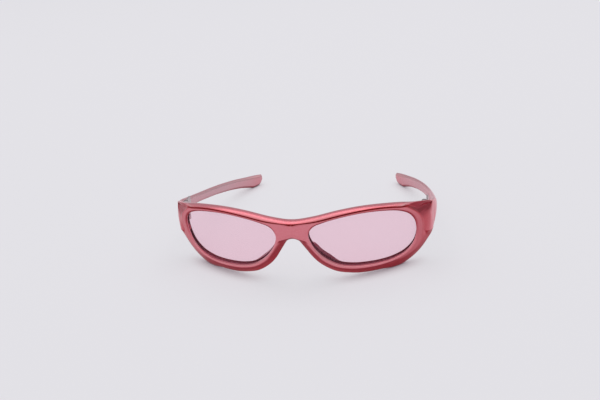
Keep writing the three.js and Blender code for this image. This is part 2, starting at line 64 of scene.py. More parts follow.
TEMPLE = np.array([
    [31.6, 64.1, 29.4, 14.3, 2.4], [34.5, 64.9, 28.55, 16.0, 3.2], [38.5, 65.45, 27.4, 17.8, 3.75],
    [43, 65.5, 25.95, 18.8, 3.8], [49, 65.0, 24.3, 18.5, 3.55], [55.5, 64.45, 22.5, 17.35, 3.3],
    [63, 63.6, 20.5, 15.5, 3.2], [71, 62.4, 18.6, 13.5, 3.2], [79, 60.85, 16.75, 11.6, 3.2],
    [87, 58.9, 14.9, 9.5, 3.2], [94.5, 56.7, 13.1, 7.5, 3.2], [101.5, 54.3, 11.4, 5.4, 3.25], [107.5, 52, 9.8, 3.4, 3.3],
    [112.3, 49.8, 8.55, 1.5, 3.3], [116.4, 47.5, 7.65, 0, 3.3], [119.4, 45.35, 7, 0, 3.15], [121.3, 43.75, 6.5, 1, 2.9], [122.3, 42.75, 6.2, 2.5, 2.4]])


def smooth(points):
    """Cubic pieces through the points with parabolic slopes, as the CAD part draws its curves."""
    p = np.asarray(points, float)
    h = np.diff(p[:, 0])
    d = np.diff(p[:, 1]) / h
    s = np.empty(len(p))
    s[0], s[-1] = d[0], d[-1]
    s[1:-1] = (d[:-1] * h[1:] + d[1:] * h[:-1]) / (h[:-1] + h[1:])

    def at(x):
        i = int(np.clip(np.searchsorted(p[:, 0], x, "left") - 1, 0, len(p) - 2))
        t = (x - p[i, 0]) / h[i]
        t2, t3 = t * t, t * t * t
        return ((2 * t3 - 3 * t2 + 1) * p[i, 1] + (t3 - 2 * t2 + t) * h[i] * s[i]
                + (3 * t2 - 2 * t3) * p[i + 1, 1] + (t3 - t2) * h[i] * s[i + 1])
    return at


def surface_y(x, z):
    return (SURF["x2"] * x * x / 100 + SURF["x4"] * (x / 50) ** 4 + SURF["z1"] * (z - 20)
            + SURF["z2"] * (z - 20) ** 2 / 100 + SURF["x2z"] * x * x * (z - 20) / 1e4
            + SURF["x2z2"] * x * x * (z - 20) ** 2 / 1e6)


def on_surface(x, z, back):
    return np.array([x, surface_y(x, z) + back, z])


aperture_r = smooth([[k * 11.25, APERTURE_R[(k + 64) % 32]] for k in range(-5, 38)])
mirrored = lambda pts: [[-pts[1][0], pts[1][1]]] + pts
brow_edge, brow_top, lower_r, crease_r = smooth(mirrored(BROW_EDGE)), smooth(mirrored(BROW_TOP)), smooth(LOWER), smooth(CREASE)


def polar(deg, r):
    return EYE + r * np.array([math.cos(math.radians(deg)), math.sin(math.radians(deg))])


def to_world(points, side=1):
    """Pattern millimetres to the row frame in metres."""
    p = np.array(points, float)
    p[..., 1] -= Y_MIDDLE
    p[..., 0] *= side
    return p * SIZE / 1000


# ------------------------------------------------------------------ cross-sections of the front
# corners: 0 aperture edge, 1 lip crest, 2 face edge, 3 groove, 4 brow or crease edge, 5 shoulder,
# 6 outermost edge, 7 back edge, 8 back middle, 9 aperture edge at the back, 10 lens groove's back,
# 11 its floor at the back, 12 its floor at the front, 13 lip back
def step(t):
    u = max(0.0, min(1.0, t))
    return u * u * (3 - 2 * u)


def pad(deg):
    """Moulded nose pads: how far the flanks of the arch stand out behind the rims."""
    return PAD * step((235 - deg) / 25) * step((deg - 180) / 9)


def inner(deg):
    a = polar(deg, aperture_r(deg))
    r = polar(deg, aperture_r(deg) + REBATE)
    return a, [on_surface(*a, 0.25), on_surface(*polar(deg, aperture_r(deg) + 0.15), DEPTH - 0.2 + pad(deg) * 0.8),
               on_surface(*a, GROOVE_BACK), on_surface(*r, GROOVE_BACK), on_surface(*r, RECESS), on_surface(*a, RECESS)]


def section(deg, outer, radii, lip_out=0.9):
    a, (edge, *rest) = inner(deg)
    f = outer[0]
    span = math.hypot(f[0] - a[0], f[2] - a[1])
    t = min(lip_out, span * 0.45) / span
    crest = on_surface(a[0] + (f[0] - a[0]) * t, a[1] + (f[2] - a[1]) * t, -0.12)
    return np.array([edge, crest, *outer, *rest]), np.array([0.3, 0.8, *radii, 0.5, 0.1, 0.1, 0.1, 0.12])


R_BROW = [0.35, 0.25, 0.22, 1.5, 1.5, 0.9, 0.6]
R_SCOOP = [0.22, 0.5, 0.5, 0.5, 0.7, 0.5, 0.6]
R_SIDE = [0.25, 0.4, 3.0, 3.0, 0.25, 0.3, 0.6]
R_LOWER = [0.9, 1.2, 1.6, 1.6, 1.3, 0.9, 0.8]
TURN = {50: 0.2, 53: 0.55, 56: 0.85, 59: 1, 62: 1}
SWEEP = {53: 0.3, 56: 1.0, 59: 2.4, 62: 5.0}
SCOOP_END = np.array([63.0, 29.9, 28.6])


def mix_radii(a, b, t):
    return [p + (q - p) * t for p, q in zip(a, b)]


def brow_row(x):
    zk, zt = brow_edge(x), brow_top(x)
    deg = math.degrees(math.atan2(zk - EYE[1], x - EYE[0]))
    a, _ = inner(deg)
    span = math.hypot(x - a[0], zk - a[1])
    along = lambda d: (x + (a[0] - x) * d / span, zk + (a[1] - zk) * d / span)
    straight = x < 0.01
    turn, sweep = TURN.get(x, 0), SWEEP.get(x, 0)
    top = on_surface(x, zt, BROW_BACK + sweep)
    top[2] -= 0.437 * sweep
    front = on_surface(*((0, zk - 1.05) if straight else along(min(1.0, span * 0.45))), 0)
    groove = on_surface(*((0, zk - 0.5) if straight else along(min(0.5, span * 0.24))), 0.85)
    edge = on_surface(x, zk, -0.45)
    shoulder = on_surface(x, zk + (zt - zk) * 0.8, 0.9)
    if x > 51:
        f = polar(deg, crease_r(deg))
        y = surface_y(*f)

        def away(r, back):
            q = polar(deg, crease_r(deg) + r)
            return np.array([q[0], y + back, q[1]])
        front, groove = away(0, 0), away(0.3, 0.8 + turn * 1.1)
        edge = edge + (away(0.65, 0.9 + turn * 2.0) - edge) * min(1, turn * 1.3)
        if x > 60:
            q = polar(22.7, crease_r(22.7) + 0.7)
            start = np.array([q[0], surface_y(*polar(22.7, crease_r(22.7))) + 2.9, q[1]])
            edge = (start + SCOOP_END) / 2
    shoulder = shoulder + (np.array([top[0], top[1] - 2.4, top[2] + 1.0]) - shoulder) * turn
    mid = (a[0] + (x - a[0]) * 0.55, a[1] + (zt - 0.9 - a[1]) * 0.55)
    radii = mix_radii(R_BROW, R_SCOOP, turn)
    if straight:
        radii[0] = radii[5] = 0
    return section(deg, [front, groove, edge, shoulder, top,
                         np.array([top[0], max(top[1] + 1.0, surface_y(x, zt) + DEPTH), top[2] - 0.75]),
                         on_surface(*mid, DEPTH)], radii)


def side_row(deg, zo, k=None, b=None, d=None, e=None, m=None, radii=None):
    f, g = polar(deg, crease_r(deg)), polar(deg, crease_r(deg) + 0.45)
    y = surface_y(*f)
    pick = lambda given, other: np.array(given if given is not None else other, float)
    return section(deg, [
        np.array([f[0], y, f[1]]), np.array([g[0], y + 0.9, g[1]]),
        pick(k, [61.7, 24.9, f[1] + (zo - f[1]) * 0.4]), pick(b, [63.6, 28.1, f[1] + (zo - f[1]) * 0.75]),
        pick(d, [64.0, BUTT_FRONT, zo]), pick(e, [SEAT_B[0], SEAT_B[1], zo]),
        pick(m, [SEAT_A[0], SEAT_A[1], f[1] + (zo - f[1]) * 0.3])], radii or R_SIDE)


def lower_row(deg, d=None, e=None, outline=None, radii=None):
    a, (_, mouth, *_) = inner(deg)
    o = outline if outline is not None else ((d[0], d[2]) if d is not None else polar(deg, lower_r(deg)))
    away = deg - 360 if deg > 270 else deg
    f = polar(deg, crease_r(away)) if (away > -43 and deg > 270) else None
    span = math.hypot(o[0] - a[0], o[1] - a[1])
    at = lambda s: (a[0] + (o[0] - a[0]) * s / span, a[1] + (o[1] - a[1]) * s / span)
    ff = f if f is not None else at(min(1.9, span * 0.4))
    out_y = d[1] if d is not None else surface_y(*o) + LOWER_BACK
    face_y = surface_y(*ff) + (0 if f is not None else 0.12)
    between = lambda t, bulge: np.array([ff[0] + (o[0] - ff[0]) * t, face_y + (out_y - face_y) * bulge, ff[1] + (o[1] - ff[1]) * t])
    back = np.array(e, float) if e is not None else on_surface(*at(span - 0.55 - pad(deg) * 0.3), DEPTH + pad(deg))
    half = (mouth + back) / 2 if d is not None else on_surface(mouth[0] + (back[0] - mouth[0]) * 0.55, mouth[2] + (back[2] - mouth[2]) * 0.55, DEPTH + pad(deg) * 1.05)
    return section(deg, [np.array([ff[0], face_y, ff[1]]), between(0.22, 0.16), between(0.52, 0.42), between(0.84, 0.74),
                         np.array([o[0], out_y, o[1]]), back, half], radii or R_LOWER)


def middle_row(deg, z):
    a, _ = inner(deg)
    return section(deg, [on_surface(0, z, b) for b in (0, 1.0, 1.8, 2.6, 3.4, DEPTH)] + [on_surface(a[0] * 0.5, z, DEPTH)],
                   [0, 0.3, 0.3, 0.3, 0.3, 0, 0.6])


rows = [brow_row(x) for x in (0, 3, 7, 11.5, 16, 20.5, 25, 29.5, 34, 38.5, 42.5, 46.5, 50, 53, 56, 59, 62)]
E1 = len(rows)
rows.append(side_row(15.5, 29.3, SCOOP_END, [63.3, 30.2, 29.5], [63.8, BUTT_FRONT, 29.3], [SEAT_B[0], SEAT_B[1], 29.0], [SEAT_A[0], SEAT_A[1], 28.5],
                     [0.25, 0.4, 0.3, 0.3, 0.25, 0.3, 0.6]))
rows += [side_row(9.5, 27, None, [63.2, 28.1, 26.7]), side_row(3, 23.6), side_row(-2.5, 19.8)]
E2 = len(rows)
rows.append(side_row(-8, 15.4, [61.7, 25.0, 15.9], [63.4, 28.2, 15.6], [63.9, BUTT_FRONT, 15.4], [SEAT_B[0], SEAT_B[1], 16.0], [SEAT_A[0], SEAT_A[1], 15.8],
                     [0.4, 0.6, 2.4, 2.4, 0.4, 0.4, 0.6]))
R_TURN = [0.6, 0.9, 2.0, 2.0, 1.0, 0.8, 0.8]
rows += [lower_row(347, (63.2, 30.5, 12.9), (60.7, 30.8, 13.6), radii=R_TURN), lower_row(340, (61.4, 29.6, 10.1), (59.2, 30.5, 10.9), radii=R_TURN),
         lower_row(332.5, (58.6, 28.0, 6.3), (57.2, 29.7, 7.0)), lower_row(325, (55.6, 26.0, 3.5), (54.7, 28.0, 4.1)),
         lower_row(317.5, on_surface(52.1, 1.4, 2.5), on_surface(51.6, 1.7, DEPTH)),
         lower_row(310, on_surface(48.2, 0, LOWER_BACK), on_surface(48.1, 0, DEPTH)),
         lower_row(302, on_surface(44.1, 0, LOWER_BACK), on_surface(44.1, 0, DEPTH))]
rows += [lower_row(deg) for deg in (295, 287.5, 280, 272.5, 265, 257.5, 250, 242.5, 235, 227.5, 220, 213.5, 208)]
rows += [lower_row(deg, outline=(x, z)) for deg, x, z in ARCH]
CROWN = len(rows)
_a = inner(176)[0]
rows.append(section(176, [on_surface(0, ARCH_CROWN + up, back) for up, back in ((1.9, 0.12), (1.5, 0.5), (0.9, 1.1), (0.3, 1.8), (0, LOWER_BACK), (0.55, DEPTH))]
                    + [on_surface(_a[0] * 0.5, 24.7, DEPTH)], [0, 1.0, 1.2, 1.2, 1.2, 0, 0.6]))
rows += [middle_row(171.5, 26.9), middle_row(166, 28.9)]
N = len(rows)
P = np.array([r[0] for r in rows])   # row, corner, xyz
RAD = np.array([r[1] for r in rows])  # row, corner

STEPS = 7  # fine rows to one control row
MIRROR = np.array([-1, 1, 1.0])
FREE, CORNER2, C = (0, 1, 9, 10, 11, 12, 13), (2,), 14


def spline_rows():
    """Every corner's path round the aperture at STEPS times as many rows; a path turns sharply only at its breaks."""
    out = np.empty((N * STEPS, C, 3))
    for c in range(C):
        if c in FREE or c == 8:
            breaks = set()
        elif c in CORNER2:
            breaks = {0, CROWN}
        else:
            breaks = {0, E1, E2, CROWN}
        pts = P[:, c]
        for i in range(N):
            j = (i + 1) % N
            p0, p1 = pts[i], pts[j]
            h = np.linalg.norm(p1 - p0) + 1e-9

            def slope(k, other_back, other_on):
                """Unit-speed slope at row k from its neighbours, by chord lengths."""
                if k in breaks:
                    if k == 0 and other_on is not None:      # leaves the middle plane squarely
                        back = other_on * MIRROR
                    elif k == CROWN and other_back is not None:
                        other_on = other_back * MIRROR
                        back = other_back
                    else:
                        return None
                else:
                    back = other_back if other_back is not None else pts[(k - 1) % N]
                    other_on = other_on if other_on is not None else pts[(k + 1) % N]
                h0, h1 = np.linalg.norm(pts[k] - back) + 1e-9, np.linalg.norm(other_on - pts[k]) + 1e-9
                return ((pts[k] - back) / h0 * h1 + (other_on - pts[k]) / h1 * h0) / (h0 + h1)
            middle = i >= CROWN  # rows on the middle plane run straight up it
            s0 = None if (middle and breaks) else slope(i, None if i not in breaks else None, p1 if i in breaks else None)
            s1 = None if (middle and breaks) else slope(j, p0 if j in breaks else None, None)
            chord = (p1 - p0) / h
            s0 = chord if s0 is None else s0
            s1 = chord if s1 is None else s1
            for k in range(STEPS):
                t = k / STEPS
                t2, t3 = t * t, t * t * t
                out[i * STEPS + k, c] = ((2 * t3 - 3 * t2 + 1) * p0 + (t3 - 2 * t2 + t) * h * s0 + (3 * t2 - 2 * t3) * p1 + (t3 - t2) * h * s1)
                if middle and c in (2, 3, 4, 5, 6, 7):
                    out[i * STEPS + k, c, 0] = 0
    radii = np.empty((N * STEPS, C))
    for i in range(N):
        for k in range(STEPS):
            radii[i * STEPS + k] = RAD[i] + (RAD[(i + 1) % N] - RAD[i]) * k / STEPS
    radii[(CROWN * STEPS):, 2] = 0
    radii[(CROWN * STEPS):, 7] = 0
    out[..., 2] = np.maximum(out[..., 2], 0)
    return out, radii


ARC = 5
FILL = {0: 1, 1: 4, 2: 1, 3: 1, 4: 2, 5: 2, 6: 2, 7: 4, 8: 4, 9: 2, 10: 1, 11: 1, 12: 1, 13: 2}  # straight pieces after each corner


def profile(pts, radii):
    """A closed outline with its corners rounded: the same number of points for every row."""
    n = len(pts)
    d = [np.linalg.norm(pts[(i + 1) % n] - pts[i]) for i in range(n)]
    out = []
    for i in range(n):
        p, before, after = pts[i], pts[i - 1], pts[(i + 1) % n]
        r = min(radii[i], 0.499 * d[i - 1], 0.499 * d[i])
        start = p + (before - p) * (r / max(d[i - 1], 1e-9))
        end = p + (after - p) * (r / max(d[i], 1e-9))
        for k in range(ARC + 1):
            t = k / ARC
            out.append((1 - t) ** 2 * start + 2 * t * (1 - t) * p + t * t * end)
        r2 = min(radii[(i + 1) % n], 0.499 * d[i], 0.499 * d[(i + 1) % n])
        nxt = after + (p - after) * (r2 / max(d[i], 1e-9))
        for k in range(1, FILL[i]):
            t = k / FILL[i]
            q = end + (nxt - end) * t
            if i in (1, 7, 8):  # wide faces follow the base curve
                off0, off1 = end[1] - surface_y(end[0], end[2]), nxt[1] - surface_y(nxt[0], nxt[2])
                if i == 1 or (abs(off0 - DEPTH) < 0.6 and abs(off1 - DEPTH) < 0.6):
                    q[1] = surface_y(q[0], q[2]) + off0 + (off1 - off0) * t
            out.append(q)
    return np.array(out)


def column_marks():
    """Painted-shade marks for every point of a profile: painted shade in the aperture, along the groove, on the scoop
    at the brow's end and on the undercut of the lower rims."""
    recess_shade, groove_shade, scoop, under = [], [], [], []
    # the first list is painted shade on the aperture walls, the second painted shade in the groove, the third and
    # fourth painted shade on the scoop facet and on the undercut of the lower rims
    for i in range(C):
        for k in range(ARC + 1):
            t = k / ARC
            recess_shade.append({9: max(0.0, 2 * t - 1), 0: 0.1 * max(0.0, 1 - 2 * t), 13: 1 - 0.55 * t}.get(i, 1.0 if i > 9 else 0.0))
            groove_shade.append({0: 0.85 * (1 - t), 3: 1.0, 2: min(1.0, 0.5 + t), 4: 1 - 0.25 * t}.get(i, 0.0))
            scoop.append({3: 1.0, 4: 1.0, 5: 1.0 - t}.get(i, 0.0))
            under.append({2: 0.25 * t, 3: 0.4 + 0.6 * t, 4: 1.0, 5: 1.0, 6: 1 - 0.5 * t}.get(i, 0.0))
        for k in range(1, FILL[i]):
            recess_shade.append(0.12 if i == 13 else 1.0 if i >= 9 else 0.0)
            groove_shade.append(0.3 if i == 4 else 0.0)
            scoop.append(1.0 if i in (3, 4) else 0.0)
            under.append(1.0 if i in (4, 5) else 0.0)
    return np.array(recess_shade), np.array(groove_shade), np.array(scoop), np.array(under)


def set_mark(ob, name, values):
    att = ob.data.attributes.new(name, "FLOAT", "POINT")
    att.data.foreach_set("value", np.asarray(values, dtype=np.float32))


def finish_mesh(ob, angle=50):
    me = ob.data
    me.polygons.foreach_set("use_smooth", [True] * len(me.polygons))
    me.set_sharp_from_angle(angle=math.radians(angle))
    me.update()


def new_object(name, bm):
    me = bpy.data.meshes.new(name)
    bm.to_mesh(me)
    bm.free()
    ob = bpy.data.objects.new(name, me)
    bpy.context.scene.collection.objects.link(ob)
    return ob


def build_front():
    fine, radii = spline_rows()
    loops = np.array([profile(fine[i], radii[i]) for i in range(len(fine))])
    rows_n, cols = loops.shape[:2]
    bm = bmesh.new()
    layers = [bm.verts.layers.float.new(n) for n in ("recess_shade", "groove_shade")]
    marks = column_marks()
    # the groove's painted shade fades out round the lower rims
    strength = np.interp(np.arange(rows_n) / STEPS, [0, E1, E1 + 2, E2, E2 + 3, CROWN - 1, CROWN, N], [1, 1, 0.75, 0.5, 0, 0, 0, 0])
    # painted shade on the downward-facing undercut of the lower rims
    low = np.interp(np.arange(rows_n) / STEPS, [E2 + 2, E2 + 6, E2 + 9, E2 + 16, E2 + 20, E2 + 23], [0, 0.45, 0.8, 0.8, 0.45, 0])
    # light falls through the lens on the bottom of each opening
    shade = np.interp(np.arange(rows_n) / STEPS, [E2 + 1, E2 + 7, E2 + 14, E2 + 19], [1, 0.72, 0.72, 1])
    # painted shade on the scoop facet at the brow's end, which faces forward and down
    turned = np.interp(np.arange(rows_n) / STEPS, [13, 15, E1 + 0.5, E1 + 1.6], [0, 1, 1, 0])
    for side in (1, -1):
        w = to_world(loops, side)
        verts = [[bm.verts.new(w[i, k]) for k in range(cols)] for i in range(rows_n)]
        for i in range(rows_n):
            for k in range(cols):
                # painted shade: the first mark in the apertures and on the scoop, the second in the groove, on the
                # scoop and on the undercut
                verts[i][k][layers[0]] = max(marks[0][k] * shade[i], 0.45 * marks[2][k] * turned[i])
                verts[i][k][layers[1]] = max(marks[1][k] * strength[i], marks[2][k] * turned[i], marks[3][k] * low[i])
        flat = np.abs(loops[..., 0]) < 1e-6
        for i in range(rows_n):
            j = (i + 1) % rows_n
            for k in range(cols):
                m = (k + 1) % cols
                if flat[i, k] and flat[i, m] and flat[j, m] and flat[j, k]:
                    continue
                quad = [verts[i][k], verts[i][m], verts[j][m], verts[j][k]]
                if side < 0:
                    quad.reverse()
                bm.faces.new(quad)
    bmesh.ops.remove_doubles(bm, verts=bm.verts, dist=2e-6)
    bmesh.ops.dissolve_degenerate(bm, edges=bm.edges, dist=1e-6)
    loose = [v for v in bm.verts if not v.link_faces]
    bmesh.ops.delete(bm, geom=loose, context="VERTS")
    bmesh.ops.recalc_face_normals(bm, faces=bm.faces)
    ob = new_object("moulded_front", bm)
    finish_mesh(ob, 60)
    return ob


def build_lens(side):
    n, shares = 224, [0.06, 0.14, 0.24, 0.34, 0.44, 0.54, 0.64, 0.73, 0.81, 0.88, 0.94, 0.975, 0.992, 1.0]
    bm = bmesh.new()
    rings = []
    degs = [k * 360 / n for k in range(n)]
    back_of = lambda s: 0.0 if s < 0.992 else (0.05 if s < 1 else 0.22)
    for s in shares:
        rings.append([on_surface(*polar(d, (aperture_r(d) + LENS_OVER) * s), LENS_FRONT + back_of(s)) for d in degs])
    for s in reversed(shares):
        rings.append([on_surface(*polar(d, (aperture_r(d) + LENS_OVER) * s), LENS_FRONT + LENS_THICK - back_of(s)) for d in degs])
    vs = [[bm.verts.new(p) for p in to_world(r, side)] for r in rings]
    for i in range(len(vs) - 1):
        for k in range(n):
            bm.faces.new([vs[i][k], vs[i][(k + 1) % n], vs[i + 1][(k + 1) % n], vs[i + 1][k]])
    for ring, back in ((vs[0], LENS_FRONT), (vs[-1], LENS_FRONT + LENS_THICK)):
        mid = bm.verts.new(to_world(on_surface(*EYE, back), side))
        for k in range(n):
            bm.faces.new([mid, ring[k], ring[(k + 1) % n]])
    bmesh.ops.recalc_face_normals(bm, faces=bm.faces)
    ob = new_object("tinted_lens_right" if side > 0 else "tinted_lens_left", bm)
    finish_mesh(ob, 50)
    return ob


def temple_at(y):
    i = int(np.clip(np.searchsorted(TEMPLE[:, 0], y, "left") - 1, 0, len(TEMPLE) - 2))
    t = TEMPLE
    h = np.diff(t[:, 0])
    d = np.diff(t[:, 1:], axis=0) / h[:, None]
    s = np.vstack([d[:1], (d[:-1] * h[1:, None] + d[1:] * h[:-1, None]) / (h[:-1] + h[1:])[:, None], d[-1:]])
    u = (y - t[i, 0]) / h[i]
    u2, u3 = u * u, u * u * u
    v = ((2 * u3 - 3 * u2 + 1) * t[i, 1:] + (u3 - 2 * u2 + u) * h[i] * s[i] + (3 * u2 - 2 * u3) * t[i + 1, 1:] + (u3 - u2) * h[i] * s[i + 1])
    slope = ((6 * u2 - 6 * u) * t[i, 1] / h[i] + (3 * u2 - 4 * u + 1) * s[i, 0] + (6 * u - 6 * u2) * t[i + 1, 1] / h[i] + (3 * u2 - 2 * u) * s[i + 1, 0])
    return v, slope


def build_temple(side):
    y0, y1 = TEMPLE[0, 0], TEMPLE[-1, 0]
    ys = list(np.linspace(y0, 108, 92)) + list(np.linspace(108, y1, 34)[1:])
    rings = []
    for y in ys:
        (xo, zt, zb, thick), slope = temple_at(y)
        zb = max(zb, 0.0)
        lead = 0 if y < 44 else min(1, (y - 43) / 15)
        angle = math.atan(-slope) * lead
        c = min(1.15, thick * 0.34, (zt - zb) * 0.3)
        w = min(0.35, thick * 0.12)
        outline = [(w * 0.6, zb + c * 1.5), (0, zb + (zt - zb) * 0.35), (0, zb + (zt - zb) * 0.68), (w, zt - c * 0.9), (c, zt),
                   (thick - c, zt), (thick, zt - c), (thick, zb + c), (thick - c, zb), (c, zb)]
        pts = [np.array([xo - s * math.cos(angle), y - s * math.sin(angle), z]) for s, z in outline]
        ring = []
        n = len(pts)
        soft = [0.5, 0.5, 0.5, 0.5, 0.5, 0.5, 0.5, 0.5, 0.5, 0.5]
        for i in range(n):
            p, before, after = pts[i], pts[i - 1], pts[(i + 1) % n]
            db, da = np.linalg.norm(before - p), np.linalg.norm(after - p)
            rr = min(soft[i] * db, soft[i] * da, 1.3)
            start, end = p + (before - p) * rr / db, p + (after - p) * rr / da
            for k in range(5):
                t = k / 4
                ring.append((1 - t) ** 2 * start + 2 * t * (1 - t) * p + t * t * end)
        rings.append(np.array(ring))
    bm = bmesh.new()

    def inset(ring, amount, shift):
        mid = ring.mean(0)
        out = []
        for p in ring:
            v = p - mid
            out.append(mid + v * (1 - amount / max(np.linalg.norm(v), amount * 1.2)) + np.array([0, shift, 0]))
        return np.array(out)
    first, last = rings[0], rings[-1]
    rings[0] = first + np.array([0, 0.25, 0])
    rings[0][:, 1] = first[:, 1] + 0.22
    rings = [inset(first, 0.22, 0)] + rings
    # rounded end of the tip
    for amount, shift in ((0.12, 0.12), (0.38, 0.27), (0.75, 0.36)):
        rings.append(inset(last, amount, shift))
    vs = [[bm.verts.new(p) for p in to_world(r, side)] for r in rings]
    n = len(vs[0])
    for i in range(len(vs) - 1):
        for k in range(n):
            bm.faces.new([vs[i][k], vs[i][(k + 1) % n], vs[i + 1][(k + 1) % n], vs[i + 1][k]])
    for ring, src in ((vs[0], rings[0]), (vs[-1], rings[-1])):
        mid = bm.verts.new(to_world(src.mean(0), side))
        for k in range(n):
            bm.faces.new([mid, ring[k], ring[(k + 1) % n]])
    bmesh.ops.remove_doubles(bm, verts=bm.verts, dist=1e-6)
    bmesh.ops.recalc_face_normals(bm, faces=bm.faces)
    ob = new_object("lacquered_temple_right" if side > 0 else "lacquered_temple_left", bm)
    # the face towards the head: how squarely the surface looks at the middle plane, for its paler inner panel;
    # upward-facing tops get the same pale colour as a painted highlight
    me = ob.data
    normals = np.empty(len(me.vertices) * 3)
    me.vertex_normals.foreach_get("vector", normals)
    normals = normals.reshape(-1, 3)
    places = np.array([v.co[:] for v in me.vertices])
    inner_face = np.clip((-normals[:, 0] * side - 0.62) / 0.25, 0, 1)
    # painted highlight on the upward-facing top
    top_face = np.clip((normals[:, 2] - 0.55) / 0.35, 0, 1)
    to_tip = np.clip((places[:, 1] - 0.028) / 0.03, 0, 1)
    set_mark(ob, "inner_panel_and_top_highlight", np.clip(inner_face * (1 - 0.45 * to_tip) + 0.75 * top_face, 0, 1))
    finish_mesh(ob, 45)
    return ob


# ------------------------------------------------------------------ materials
def nodes_of(mat):
    mat.use_nodes = True
    nt = mat.node_tree
    nt.nodes.clear()
    out = nt.nodes.new("ShaderNodeOutputMaterial")
    return nt, out


def link(nt, a, b):
    nt.links.new(a, b)


def noise(nt, coords, scale, detail=2.0, rough=0.5):
    n = nt.nodes.new("ShaderNodeTexNoise")
    n.inputs["Scale"].default_value = scale
    n.inputs["Detail"].default_value = detail
    n.inputs["Roughness"].default_value = rough
    link(nt, coords, n.inputs["Vector"])
    return n


def ramp(nt, value, stops):
    r = nt.nodes.new("ShaderNodeValToRGB")
    r.color_ramp.elements[0].position, r.color_ramp.elements[0].color = stops[0][0], stops[0][1]
    r.color_ramp.elements[1].position, r.color_ramp.elements[1].color = stops[-1][0], stops[-1][1]
    for pos, col in stops[1:-1]:
        e = r.color_ramp.elements.new(pos)
        e.color = col
    link(nt, value, r.inputs["Fac"])
    return r


def blend(nt, fac, a, b, amount=None):
    """Mix colour a to colour b by fac (a socket), times amount."""
    mix = nt.nodes.new("ShaderNodeMix")
    mix.data_type = "RGBA"
    if amount is not None:
        m = nt.nodes.new("ShaderNodeMath")
        m.operation = "MULTIPLY"
        m.inputs[1].default_value = amount
        link(nt, fac, m.inputs[0])
        fac = m.outputs[0]
    link(nt, fac, mix.inputs["Factor"])
    for given, name in ((a, "A"), (b, "B")):
        if isinstance(given, tuple):
            mix.inputs[name].default_value = given
        else:
            link(nt, given, mix.inputs[name])
    return mix.outputs["Result"]


def mark(nt, name):
    n = nt.nodes.new("ShaderNodeAttribute")
    n.attribute_name = name
    return n.outputs["Fac"]


